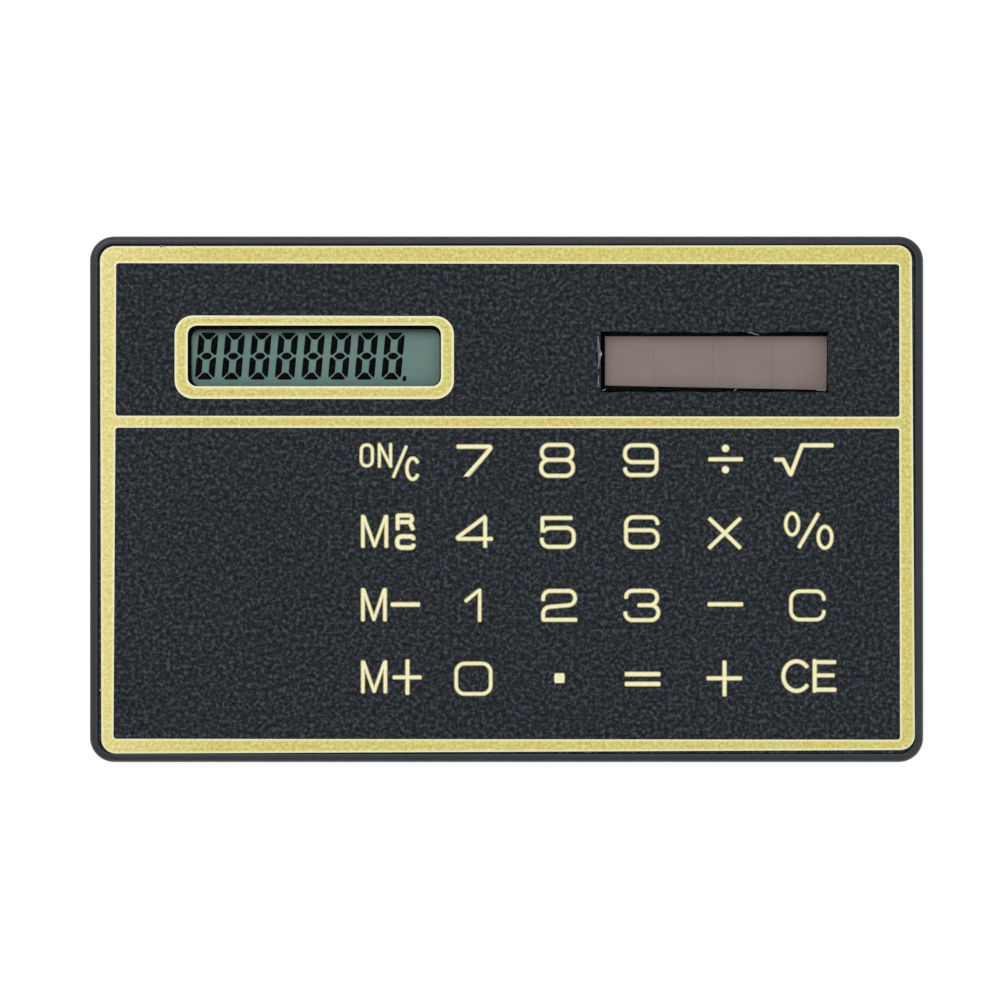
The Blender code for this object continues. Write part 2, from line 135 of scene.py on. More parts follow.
class Nodes:
    """A material's node tree, with short calls for the nodes used here.

    Patterns are placed in the piece's own coordinates, flattened to the calculator's face if planar.
    """

    def __init__(self, name, planar=False):
        self.material = bpy.data.materials.new(name)
        self.material.use_nodes = True
        self.tree = self.material.node_tree
        self.shader = self.tree.nodes["Principled BSDF"]
        self.output = self.tree.nodes["Material Output"]
        self.place = self.add("ShaderNodeTexCoord").outputs["Object"]
        if planar:
            flat = self.add("ShaderNodeMapping")
            flat.inputs["Scale"].default_value = (1.0, 1.0, 0.0)
            self.join(self.place, flat.inputs["Vector"])
            self.place = flat.outputs["Vector"]

    def add(self, kind, **settings):
        node = self.tree.nodes.new(kind)
        for key, value in settings.items():
            setattr(node, key, value)
        return node

    def join(self, source, target):
        self.tree.links.new(source, target)

    def noise(self, size_mm, detail=2.0, rough=0.5):
        """Cloudy values about size_mm across."""
        node = self.add("ShaderNodeTexNoise")
        node.inputs["Scale"].default_value = 1 / (size_mm * MM)
        node.inputs["Detail"].default_value = detail
        node.inputs["Roughness"].default_value = rough
        self.join(self.place, node.inputs["Vector"])
        return node.outputs["Fac"]

    def ramp(self, value, stops):
        """Colours or greys at stops along a value."""
        node = self.add("ShaderNodeValToRGB")
        elements = node.color_ramp.elements
        while len(elements) < len(stops):
            elements.new(0.5)
        for element, (position, colour) in zip(elements, stops):
            element.position = position
            element.color = (*colour, 1.0)
        self.join(value, node.inputs["Fac"])
        return node.outputs["Color"]

    def tones(self, value, dark, light, start=0.3, end=0.7):
        """A range between two colours given in display values."""
        return self.ramp(value, [(start, srgb(*dark)), (end, srgb(*light))])

    def spread(self, value, low, high, start=0.3, end=0.7):
        """A value mapped to a range of numbers."""
        node = self.add("ShaderNodeMapRange")
        node.inputs["From Min"].default_value = start
        node.inputs["From Max"].default_value = end
        node.inputs["To Min"].default_value = low
        node.inputs["To Max"].default_value = high
        self.join(value, node.inputs["Value"])
        return node.outputs["Result"]

    def average(self, first, second):
        node = self.add("ShaderNodeMix", data_type="FLOAT")
        self.join(first, node.inputs["A"])
        self.join(second, node.inputs["B"])
        return node.outputs["Result"]

    def along(self, axis, start_mm, end_mm, low, high):
        """A number going from low to high between two positions along an axis of the piece."""
        split = self.add("ShaderNodeSeparateXYZ")
        self.join(self.place, split.inputs["Vector"])
        return self.spread(split.outputs[axis], low, high, start_mm * MM, end_mm * MM)

    def mix(self, share, first, second, how="MIX"):
        """Two colours mixed; each is a socket or a colour, and share is a socket or a number."""
        node = self.add("ShaderNodeMix", data_type="RGBA", blend_type=how)
        for key, value in (("Factor", share), ("A", first), ("B", second)):
            wanted = "VALUE" if key == "Factor" else "RGBA"
            socket = next(s for s in node.inputs if s.name == key and s.type == wanted)
            if isinstance(value, bpy.types.NodeSocket):
                self.join(value, socket)
            elif wanted == "VALUE":
                socket.default_value = value
            else:
                socket.default_value = (*value, 1.0)
        return next(s for s in node.outputs if s.type == "RGBA")

    def times(self, colour, value, stops):
        """A colour multiplied by the colours at stops along a value."""
        return self.mix(1.0, colour, self.ramp(value, stops), "MULTIPLY")

    def edge(self):
        """The share of ink build-up stored on a print's vertices."""
        return self.add("ShaderNodeAttribute", attribute_name="ink_edge").outputs["Fac"]

    def bump(self, height, depth_mm, strength):
        node = self.add("ShaderNodeBump")
        node.inputs["Distance"].default_value = depth_mm * MM
        node.inputs["Strength"].default_value = strength
        self.join(height, node.inputs["Height"])
        return node.outputs["Normal"]

    def finish(self, colour, roughness, normal=None, metallic=0.0, specular=0.5):
        inputs = self.shader.inputs
        self.join(colour, inputs["Base Color"])
        self.join(roughness, inputs["Roughness"])
        if normal is not None:
            self.join(normal, inputs["Normal"])
        inputs["Metallic"].default_value = metallic
        inputs["Specular IOR Level"].default_value = specular
        return self.material


def film_material():
    """Matt black film with a fine pebble grain, in slightly different darks."""
    n = Nodes("printed_film", planar=True)
    grain = n.average(n.noise(0.46, 1.0, 0.6), n.noise(0.36, 1.0, 0.6))
    pebble = n.spread(grain, 0.0, 1.0, 0.34, 0.66)
    colour = n.ramp(pebble, [(0.0, srgb(6, 9, 11)), (0.5, srgb(34, 38, 42)), (1.0, srgb(72, 77, 82))])
    purple, neutral, green = srgb(255, 242, 255), srgb(250, 252, 255), srgb(238, 255, 248)
    colour = n.times(colour, n.noise(1.4, 2.0, 0.6), [(0.36, purple), (0.5, neutral), (0.64, green)])
    colour = n.times(colour, n.noise(16.0), [(0.35, grey(0.9)), (0.65, grey(1.0))])
    roughness = n.spread(pebble, 0.64, 0.78, 0.0, 1.0)
    return n.finish(colour, roughness, n.bump(pebble, 0.012, 0.5), specular=0.16)


def gold_material():
    """Pale gold ink: mottled, a little lighter where the ink builds up at an edge, and paler towards the left
    as painted light from the lamp at the upper left.
    """
    n = Nodes("gold_ink", planar=True)
    fine = n.noise(0.35, 3.0, 0.6)
    low, mid, high = srgb(196, 182, 98), srgb(218, 206, 125), srgb(240, 230, 158)
    mottle = n.ramp(fine, [(0.32, low), (0.52, mid), (0.72, high)])
    warm, cool = srgb(255, 248, 232), srgb(250, 255, 244)
    body = n.times(mottle, n.noise(5.0), [(0.35, warm), (0.65, cool)])
    # Painted light: a paler gold blended in towards the left end of the border, where the upper-left lamp
    # lights it more.
    low, mid, high = srgb(212, 198, 116), srgb(232, 219, 145), srgb(250, 240, 176)
    painted_lit_gold = n.ramp(fine, [(0.32, low), (0.52, mid), (0.72, high)])
    body = n.mix(n.along("X", -31.0, -41.0, 0.0, 0.85), body, painted_lit_gold)
    lit = n.spread(n.edge(), 0.0, 1.0, 0.05, 0.75)
    colour = n.mix(lit, body, n.tones(fine, (234, 228, 178), (247, 242, 200)))
    roughness = n.spread(fine, 0.36, 0.5)
    return n.finish(colour, roughness, n.bump(fine, 0.006, 0.5), metallic=0.15, specular=0.4)


def legend_material():
    """The key legends' ink: cream where ink_edge is 1, thin and dull along the sides of the strokes."""
    n = Nodes("legend_ink", planar=True)
    fine = n.noise(0.35, 3.0, 0.6)
    core = n.tones(fine, (239, 231, 184), (251, 244, 202))
    thin = n.tones(fine, (142, 136, 84), (178, 170, 118))
    colour = n.mix(n.edge(), thin, core)
    return n.finish(colour, n.spread(fine, 0.36, 0.5), n.bump(fine, 0.006, 0.5), specular=0.3)


def case_material():
    """Moulded black plastic with a fine spark-eroded texture, lighter along its edges: a little polished
    wear, and a painted highlight on the rounded rim.
    """
    n = Nodes("case_plastic")
    grain = n.noise(0.16, 3.0, 0.6)
    broad = n.noise(6.0, 3.0)
    fine = n.noise(0.35, 2.0, 0.6)
    colour = n.tones(broad, (10, 14, 17), (19, 24, 27))
    colour = n.mix(n.spread(fine, 0.0, 0.35), colour, srgb(44, 50, 54))
    # Lighter where the surface is convex: partly wear, partly a painted highlight on the rounded rim.
    pointed = n.add("ShaderNodeNewGeometry").outputs["Pointiness"]
    wear_and_highlight = n.spread(pointed, 0.0, 1.0, 0.5, 0.6)
    colour = n.mix(wear_and_highlight, colour, srgb(43, 50, 56))
    roughness = n.spread(grain, 0.4, 0.52)
    return n.finish(colour, roughness, n.bump(grain, 0.008, 0.5), specular=0.5)


def cover_material():
    """The back plate: matt black with a fine brushed-in texture."""
    n = Nodes("cover_plastic")
    grain = n.noise(0.22, 3.0, 0.6)
    colour = n.tones(n.noise(12.0), (34, 36, 38), (44, 46, 49))
    colour = n.times(colour, n.noise(0.5, 3.0, 0.7), [(0.35, srgb(214, 216, 218)), (0.65, grey(1.0))])
    roughness = n.spread(grain, 0.48, 0.62)
    return n.finish(colour, roughness, n.bump(grain, 0.01, 0.6), specular=0.4)


def rubber_material():
    """The soft dark grey of the stems under the keys."""
    n = Nodes("key_rubber")
    grain = n.noise(0.2)
    colour = n.tones(grain, (58, 58, 61), (72, 72, 75))
    return n.finish(colour, n.spread(grain, 0.6, 0.8), n.bump(grain, 0.006, 0.5))


def lcd_material():
    """The display's grey-green face: soft clouds, and shade under the upper edge of its opening."""
    n = Nodes("lcd_face", planar=True)
    fine = n.noise(0.25, 2.0, 0.6)
    colour = n.tones(n.noise(2.2), (110, 140, 133), (116, 144, 134), 0.35, 0.65)
    colour = n.times(colour, fine, [(0.3, srgb(236, 238, 238)), (0.7, grey(1.0))])
    colour = n.times(colour, n.noise(0.9), [(0.36, srgb(255, 244, 252)), (0.64, srgb(242, 255, 250))])
    edge = DISPLAY_CENTRE[1] + DISPLAY_OPENING[1] / 2
    below = n.along("Y", edge - 0.2, edge - 1.5, 0.0, 1.0)
    shades = ((0.0, 0.06), (0.3, 0.38), (0.6, 0.8), (1.0, 1.0))
    colour = n.times(colour, below, [(stop, grey(shade)) for stop, shade in shades])
    return n.finish(colour, n.spread(fine, 0.3, 0.42), specular=0.3)


def display_tone(name, dark, light, size_mm, rough, gloss, specular):
    """Two close tones of the display in fine clouds, without relief."""
    n = Nodes(name, planar=True)
    fine = n.noise(size_mm, 2.0, rough)
    return n.finish(n.tones(fine, dark, light), n.spread(fine, *gloss), specular=specular)


def silicon_material(name, dark, light):
    """Amorphous silicon behind glass: a soft brown with faint cloudiness."""
    n = Nodes(name, planar=True)
    fine = n.noise(0.3, 2.0, 0.6)
    colour = n.tones(n.noise(3.0, 3.0), dark, light)
    colour = n.times(colour, fine, [(0.3, srgb(*grey(244))), (0.7, grey(1.0))])
    return n.finish(colour, n.spread(fine, 0.35, 0.5), specular=0.3)


def clear_material(name, tint, ior, gloss):
    """Clear glass or film seen through without bending: a tinted pass-through with a gloss on top.

    The gloss grows towards grazing view the same from both sides, so the inside never turns into a mirror.
    """
    n = Nodes(name)
    n.tree.nodes.remove(n.shader)
    haze = n.noise(4.0)
    through = n.add("ShaderNodeBsdfTransparent")
    n.join(n.ramp(haze, [(0.3, tuple(c * 0.985 for c in tint)), (0.7, tint)]), through.inputs["Color"])
    mirror = n.add("ShaderNodeBsdfGlossy")
    n.join(n.spread(haze, gloss, gloss + 0.04), mirror.inputs["Roughness"])
    facing = n.add("ShaderNodeLayerWeight")
    facing.inputs["Blend"].default_value = 0.5
    slant = n.add("ShaderNodeMath", operation="POWER")
    n.join(facing.outputs["Facing"], slant.inputs[0])
    slant.inputs[1].default_value = 5.0
    straight_on = ((ior - 1) / (ior + 1)) ** 2
    grazing = 0.6
    both = n.add("ShaderNodeMixShader")
    n.join(n.spread(slant.outputs["Value"], straight_on, grazing, 0.0, 1.0), both.inputs["Fac"])
    n.join(through.outputs["BSDF"], both.inputs[1])
    n.join(mirror.outputs["BSDF"], both.inputs[2])
    n.join(both.outputs["Shader"], n.output.inputs["Surface"])
    return n.material


def plain_part(name, dark, light, size_mm, roughness, metallic=0.0, depth_mm=0.004, specular=0.5):
    """A small inside part: two tones of one colour in fine clouds, with matching gloss and relief."""
    n = Nodes(name)
    clouds = n.noise(size_mm, 3.0, 0.55)
    colour = n.tones(clouds, dark, light)
    gloss = n.spread(clouds, roughness - 0.06, roughness + 0.06)
    return n.finish(colour, gloss, n.bump(clouds, depth_mm, 0.6), metallic, specular)


def black_part(name, size_mm=0.6):
    """A hidden matt black surface."""
    return plain_part(name, (2, 2, 3), (7, 7, 8), size_mm, 0.85, specular=0.03)


# ---- Shapes ----


def unit(angle):
    """The direction at an angle in radians."""
    return Vector((math.cos(angle), math.sin(angle)))


def grown(size, margin):
    return (size[0] + 2 * margin, size[1] + 2 * margin)


def box_corners(centre, size):
    """The corners of a rectangle, anticlockwise from the lower right."""
    half_x, half_y = size[0] / 2, size[1] / 2
    signs = ((1, -1), (1, 1), (-1, 1), (-1, -1))
    return [(centre[0] + half_x * sx, centre[1] + half_y * sy) for sx, sy in signs]


def rounded_outline(corners, radius, margin=0.0, segments=10):
    """A four-sided outline given anticlockwise by its corners, rounded, and moved outwards by margin."""
    points = []
    for k, corner in enumerate(corners):
        here = Vector(corner)
        into = (here - Vector(corners[k - 1])).normalized()
        out = (Vector(corners[(k + 1) % len(corners)]) - here).normalized()
        first, second = Vector((into.y, -into.x)), Vector((out.y, -out.x))
        centre = here - radius * (first + second) / (1 + first.dot(second))
        start = math.atan2(first.y, first.x)
        turn = (math.atan2(second.y, second.x) - start) % math.tau
        for step in range(segments + 1):
            angle = start + turn * step / segments
            points.append(tuple(centre + (radius + margin) * unit(angle)))
    return points


def rounded_rectangle(centre, size, radius, segments=8):
    return rounded_outline(box_corners(centre, size), radius, 0.0, segments)


def rounded_span(x_range, y_range, radius, segments):
    """The rounded rectangle between two X values and two Y values."""
    (left, right), (low, high) = x_range, y_range
    corners = [(right, low), (right, high), (left, high), (left, low)]
    return rounded_outline(corners, radius, 0.0, segments)


def piece(name, bm, material, body, sharp=35.0):
    """Turn a bmesh in millimetres into a piece of the object, riding on a body if one is given."""
    for vertex in bm.verts:
        vertex.co *= MM
    bmesh.ops.recalc_face_normals(bm, faces=bm.faces[:])
    mesh = bpy.data.meshes.new(name)
    bm.to_mesh(mesh)
    bm.free()
    mesh.materials.append(material)
    mesh.shade_smooth()
    if sharp:
        mesh.set_sharp_from_angle(angle=math.radians(sharp))
    made = bpy.data.objects.new(name, mesh)
    bpy.context.scene.collection.objects.link(made)
    if body:
        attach(made, body)
    return made


def add_loop(bm, points, z):
    return [bm.verts.new((x, y, z)) for x, y in points]


def bridge(bm, lower, upper):
    """Join two loops of as many points with a band of faces."""
    for a, b, c, d in zip(lower, lower[1:] + lower[:1], upper[1:] + upper[:1], upper):
        bm.faces.new((a, b, c, d))


def close_ends(bm, loops):
    """Join a stack of loops from the lowest to the highest and close both ends."""
    for lower, upper in zip(loops, loops[1:]):
        bridge(bm, lower, upper)
    bm.faces.new(list(reversed(loops[0])))
    bm.faces.new(loops[-1])


def flat_region(outline, holes, z):
    """A flat filled region with holes, as triangles."""
    bm = bmesh.new()
    edges = []
    for loop in [outline, *holes]:
        corners = add_loop(bm, loop, z)
        for first, second in zip(corners, corners[1:] + corners[:1]):
            edges.append(bm.edges.new((first, second)))
    bmesh.ops.triangle_fill(bm, use_beauty=True, use_dissolve=False, edges=edges, normal=(0, 0, 1))
    return bm


def thicken(bm, height):
    """Raise a flat region into a closed slab."""
    raised = bmesh.ops.extrude_face_region(bm, geom=bm.faces[:])
    lifted = [item for item in raised["geom"] if isinstance(item, bmesh.types.BMVert)]
    bmesh.ops.translate(bm, verts=lifted, vec=(0, 0, height))


def slab(name, outline, holes, low, high, material, body):
    bm = flat_region(outline, holes, low)
    thicken(bm, high - low)
    return piece(name, bm, material, body)


def printed_band(name, outer, windows, edge, low, high, material):
    """A printed band between four-sided outlines; ink_edge is 1 along its edges and 0 away from them.

    outer and windows are (corners, radius); edge is the width of the edge zone.
    """
    rims = [(*outer, -edge)] + [(*window, edge) for window in windows]
    bm = bmesh.new()
    layer = bm.verts.layers.float.new("ink_edge")
    inner_edges = []
    for corners, radius, margin in rims:
        first = add_loop(bm, rounded_outline(corners, radius), high)
        second = add_loop(bm, rounded_outline(corners, radius, margin), high)
        for vertex in first:
            vertex[layer] = 1.0
        bridge(bm, first, second)
        inner_edges += [bm.edges.get(pair) for pair in zip(second, second[1:] + second[:1])]
    bmesh.ops.triangle_fill(bm, use_beauty=True, use_dissolve=False, edges=inner_edges, normal=(0, 0, 1))
    thicken(bm, low - high)
    return piece(name, bm, material, "case")


def swept_ring(name, profile, size, corner, segments, material):
    """A ring round a rounded rectangle. Its section is a closed profile of (inset, height, centre) points."""
    bm = bmesh.new()
    loops = []
    for inset, z, *centre in profile:
        radius = max(corner - inset, 0.5)
        outline = rounded_rectangle(centre[0] if centre else (0, 0), grown(size, -inset), radius, segments)
        loops.append(add_loop(bm, outline, z))
    for lower, upper in zip(loops, loops[1:] + loops[:1]):
        bridge(bm, lower, upper)
    return piece(name, bm, material, "case")


# ---- Print: strokes, ellipses and dots, joined into one outline for each legend ----


def rounded_path(points, radius, closed=False, steps=6):
    """A path through points with its corners rounded; a third value is a corner's own radius."""
    count = len(points)
    path = []
    for k, corner in enumerate(points):
        if not closed and k in (0, count - 1):
            path.append(Vector(corner[:2]))
            continue
        here = Vector(corner[:2])
        before, after = Vector(points[k - 1][:2]), Vector(points[(k + 1) % count][:2])
        into, out = (here - before), (after - here)
        turn = into.angle(out)
        own = corner[2] if len(corner) > 2 else radius
        room_in = into.length * (0.5 if closed or k > 1 else 0.9)
        room_out = out.length * (0.5 if closed or k < count - 2 else 0.9)
        trim = min(own * math.tan(turn / 2), room_in, room_out)
        first, last = here - into.normalized() * trim, here + out.normalized() * trim
        if trim < 0.02:
            path.append(here)
            continue
        # a rational curve that follows the circle's arc closely
        for step in range(steps + 1):
            t = step / steps
            a, b, c = (1 - t) ** 2, 2 * math.cos(turn / 2) * t * (1 - t), t**2
            path.append((a * first + b * here + c * last) / (a + b + c))
    return path


def ribbon(path, width, closed, cap):
    """Convex polygons that make a stroke along a path: bars, wedges at the bends and rounded ends."""
    half = width / 2
    runs = []
    for start, end in zip(path, path[1:] + path[:1] if closed else path[1:]):
        if (end - start).length > 1e-4:
            along = (end - start).normalized()
            runs.append((start, end, along, Vector((-along.y, along.x)) * half))
    polygons = [[start - side, end - side, end + side, start + side] for start, end, _, side in runs]
    following = runs[1:] + runs[:1] if closed else runs[1:]
    for (_, corner, into, side_in), (_, _, out, side_out) in zip(runs, following):
        turn = into.cross(out)
        if abs(turn) < 1e-4:
            continue
        sign = 1 if turn > 0 else -1
        outer_in, outer_out = -sign * side_in, -sign * side_out
        wedge = [corner, corner + outer_in]
        if into.dot(out) > -0.2:
            wedge.append(corner + (outer_in + outer_out) / (1 + into.dot(out)))
        else:
            for share in (0.25, 0.5, 0.75):
                wedge.append(corner + outer_in.lerp(outer_out, share).normalized() * half)
        wedge.append(corner + outer_out)
        polygons.append(wedge if sign > 0 else [wedge[0], *reversed(wedge[1:])])
    if not closed:
        (start, _, out, side_out), (_, end, into, side_in) = runs[0], runs[-1]
        turns = [math.radians(d) for d in range(-90, 91, 30)]
        for point, along, side in ((start, -out, -side_out), (end, into, side_in)):
            polygons.append([point + along * cap * math.cos(a) + side * math.sin(a) for a in turns])
    return polygons


def stroke(points, width, closed=False):
    """A stroke of a legend, as a function that gives its polygons when it is printed narrower by trim."""
    return [lambda trim: ribbon(points, width - trim, closed, STROKE_END - trim / 2)]


def line(x0, y0, x1, y1, width=STROKE):
    return stroke([Vector((x0, y0)), Vector((x1, y1))], width)


def path(points, radius=0.55, width=STROKE):
    return stroke(rounded_path(points, radius), width)


def loop(centre, half, radius, width=STROKE):
    (x, y), (a, b) = centre, half
    corners = [(x + a, y - b), (x + a, y + b), (x - a, y + b), (x - a, y - b)]
    return stroke(rounded_path(corners, radius, True), width, True)


def arc(centre, half, start, end, width, steps=28):
    """Part of an ellipse, from one angle to another; a full turn is a closed ring."""
    closed = end - start >= 360
    points = []
    for k in range(steps if closed else steps + 1):
        angle = math.radians(start + (end - start) * k / steps)
        points.append(Vector((centre[0] + half[0] * math.cos(angle), centre[1] + half[1] * math.sin(angle))))
    return stroke(points, width, closed)


def round_spot(x, y, radius, sides=24):
    angles = [math.tau * k / sides for k in range(sides)]
    return [Vector((x, y)) + radius * unit(a) for a in angles]


def dot(x, y, radius):
    return [lambda trim: [round_spot(x, y, radius - trim / 2)]]


def letter_m(x0, x1, y0, y1):
    """A narrow M between outer edges x0 and x1, y0 and y1."""
    sides = ((x0 + STROKE / 2, 0.08), (x1 - STROKE / 2, -0.08))
    uprights = [line(x, y0 + 0.1, x, y1 - 0.1, 0.41) for x, _ in sides]
    slants = [line(x + inwards, y1 - 0.16, (x0 + x1) / 2, y0 + 0.16, 0.36) for x, inwards in sides]
    return sum(uprights + slants, [])


def digit_nine(sign, x, y):
    """A nine about its middle, or a six when turned half round."""
    low, mid, high = -1.5, -0.17, 1.56
    tail = [(-1.6, -0.8), (-1.6, low), (1.62, low), (1.62, high)]
    points = tail + [(-1.62, high), (-1.62, mid), (1.5, mid)]
    return path([(sign * px + x, sign * py + y) for px, py in points], 0.76)


def seven_foot(trim):
    """The slanting foot of a seven, cut level at the bottom."""
    side = 0.67 * trim
    low = -1.66 + trim / 2
    corners = ((side - 1.12, low), (-0.47 - side, low), (1.85 - side, 1.08), (1.46 + side, 1.24))
    return [[Vector(corner) for corner in corners]]


def legends():
    """Each key's legend, in millimetres from the middle of its zone."""
    fine = 0.34
    return {
        "on_clear": loop((-2.45, 0.52), (0.57, 1.08), 0.55, fine)
        + line(-1.16, -0.64, -1.16, 1.7, fine)
        + line(0.0, -0.64, 0.0, 1.7, fine)
        + line(-1.14, 1.62, -0.02, -0.58, 0.33)
        + line(0.29, -1.68, 1.6, 1.42, fine)
        + arc((2.27, -0.85), (0.6, 1.08), 36, 324, 0.38),
        "7": path([(-1.7, 1.42), (1.84, 1.42, 0.14), (0.55, -0.16)], 0.2, 0.45)
        + [seven_foot],
        "8": loop((-0.03, 0.83), (1.57, 0.77), 0.72) + loop((-0.03, -0.76), (1.64, 0.82), 0.78),
        "9": digit_nine(1, 0.0, 0.0),
        "divide": line(-1.52, 0.12, 1.84, 0.12, 0.43) + dot(0.14, 1.24, 0.39) + dot(0.14, -0.95, 0.39),
        "square_root": path(
            [(-3.34, 0.08), (-2.5, 0.08), (-1.72, -1.48), (-0.56, 1.55), (2.58, 1.55)], 0.04, 0.44
        ),
        "memory_recall": letter_m(-3.06, -0.24, -1.52, 1.86)
        + path([(0.72, 0.38), (0.72, 1.8), (2.18, 1.8, 0.3), (2.18, 1.12, 0.26), (0.72, 1.12)], 0.05, 0.44)
        + line(1.98, 1.05, 2.3, 0.38, 0.45)
        + path(
            [(2.32, -0.64), (2.32, -0.36), (0.68, -0.36), (0.68, -1.5), (2.32, -1.5), (2.32, -1.2)],
            0.46,
            0.48,
        ),
        "4": line(1.14, 1.6, 1.14, -1.42)
        + path([(1.16, 1.68, 0.1), (-1.88, -0.6, 0.1), (1.84, -0.6)], 0.1),
        "5": path([(1.46, 1.54), (-1.54, 1.54), (-1.54, 0.16)], 0.04)
        + path(
            [(-1.44, 0.18), (-0.98, 0.52), (1.68, 0.52), (1.68, -1.42), (-1.6, -1.42), (-1.6, -0.58)], 0.74
        ),
        "6": digit_nine(-1, 0.11, 0.12),
        "multiply": line(-1.52, -1.52, 1.64, 1.48, 0.42) + line(-1.5, 1.48, 1.64, -1.52, 0.42),
        "percent": arc((-1.58, 0.92), (0.65, 1.1), 0, 360, 0.38)
        + arc((1.8, -0.44), (0.69, 1.1), 0, 360, 0.38)
        + line(-0.86, -1.46, 1.1, 1.96, 0.4),
        "memory_minus": letter_m(-3.06, -0.38, -1.62, 1.8) + line(0.1, 0.11, 2.92, 0.11, 0.47),
        "1": line(0.58, -1.58, 0.58, 1.64, 0.38) + line(0.5, 1.56, -0.86, 0.46, 0.38),
        "2": path(
            [(-1.46, 0.56), (-1.46, 1.5), (1.82, 1.5), (1.82, 0.1), (-1.46, -0.2), (-1.46, -1.46, 0.1)]
            + [(1.94, -1.46)],
            0.72,
        ),
        "3": path([(-1.5, 0.8), (-1.5, 1.52), (1.68, 1.52), (1.68, 0.04), (-0.24, 0.04)], 0.74)
        + path([(0.6, 0.04), (1.8, 0.04), (1.8, -1.49), (-1.58, -1.49), (-1.58, -0.7)], 0.76),
        "minus": line(-1.6, 0.13, 1.85, 0.13, 0.44),
        "clear": path(
            [(1.68, 0.6), (1.68, 1.47), (-1.7, 1.47), (-1.7, -1.44), (1.68, -1.44), (1.68, -0.56)],
            0.92,
            0.39,
        ),
        "memory_plus": letter_m(-3.06, -0.34, -1.52, 1.86)
        + line(0.3, 0.12, 3.08, 0.12, 0.42)
        + line(1.72, -1.58, 1.72, 1.86, 0.44),
        "0": loop((-0.06, -0.02), (1.77, 1.56), 0.88, 0.39),
        "decimal_point": line(-0.22, 0.04, 0.64, 0.04, 1.02),
        "equals": line(-1.54, 0.45, 1.92, 0.45, 0.47) + line(-1.54, -0.56, 1.92, -0.56, 0.47),
        "plus": line(-1.7, 0.02, 1.74, 0.02, 0.43) + line(0.04, -1.74, 0.04, 1.74, 0.44),
        "clear_entry": arc((-1.12, 0.25), (1.36, 1.52), 38, 322, 0.44)
        + line(0.74, -1.36, 0.74, 1.88, 0.45)
        + line(0.74, 1.68, 2.84, 1.68)
        + line(0.74, 0.32, 2.68, 0.32)
        + line(0.74, -1.15, 2.86, -1.15, 0.45),
    }


def joined_outline(polygons, offset, z):
    """The union of overlapping polygons, as one flat triangulated region."""
    corners = []
    faces = []
    for polygon in polygons:
        start = len(corners)
        corners.extend(point + Vector(offset) for point in polygon)
        faces.append(list(range(start, start + len(polygon))))
    points, _, triangles, _, _, sources = delaunay_2d_cdt(corners, [], faces, 0, 1e-5, True)
    bm = bmesh.new()
    verts = [bm.verts.new((p.x, p.y, z)) for p in points]
    for triangle, inside in zip(triangles, sources):
        if inside:
            bm.faces.new([verts[k] for k in triangle])
    loose = [v for v in bm.verts if not v.link_faces]
    bmesh.ops.delete(bm, geom=loose, context="VERTS")
    bmesh.ops.dissolve_limit(bm, angle_limit=math.radians(0.5), verts=bm.verts[:], edges=bm.edges[:])
    return bm


def print_shape(name, layers, offset, low, height, material, body):
    """A thin print in layers of overlapping polygons, each on the one before and with its own ink_edge."""
    print_layers = bmesh.new()
    for polygons, edge in layers:
        bm = joined_outline(polygons, offset, low)
        thicken(bm, height)
        layer = bm.verts.layers.float.new("ink_edge")
        for vertex in bm.verts:
            vertex[layer] = edge
        scratch = bpy.data.meshes.new(name)
        bm.to_mesh(scratch)
        bm.free()
        print_layers.from_mesh(scratch)
        bpy.data.meshes.remove(scratch)
        low += height
        height *= 0.4
    return piece(name, print_layers, material, body)


# ---- Case and back ----


def quarter(centre, radius, start, end, steps=7):
    """Points on an arc of the case's section, as (inset, height)."""
    angles = [math.radians(start + (end - start) * step / steps) for step in range(steps + 1)]
    return [tuple(Vector(centre) + radius * unit(angle)) for angle in angles]


def case_shell(material):
    """The moulded frame: rounded outside, a fine parting line, the film recess and the cover recess."""
    lip = 0.07            # radius of the inside edges
    parting = 1.4
    groove = 0.03
    film_gap = 0.035
    off_centre = (-0.01, 0.02)
    r = EDGE_ROUND
    wall = RIM - film_gap
    profile = [(wall, DECK_SEAT, off_centre)]
    profile += [(*point, off_centre) for point in quarter((wall - lip, CASE_TOP - lip), lip, 0, 90, 3)]
    profile += quarter((r, CASE_TOP - r), r, 90, 180, 8)
    profile += [(0, parting + groove), (groove * 0.8, parting), (0, parting - groove)]
    profile += quarter((r, r), r, 180, 270, 8)
    profile += quarter((COVER_RIM - lip, lip), lip, 270, 360, 3)
    profile += [(COVER_RIM, POCKET_FLOOR), (LEDGE, POCKET_FLOOR), (LEDGE, DECK_SEAT)]
    shell = swept_ring("case_frame_shell", profile, CASE_SIZE, CASE_CORNER, 14, material)
    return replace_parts(shell, "case_frame")


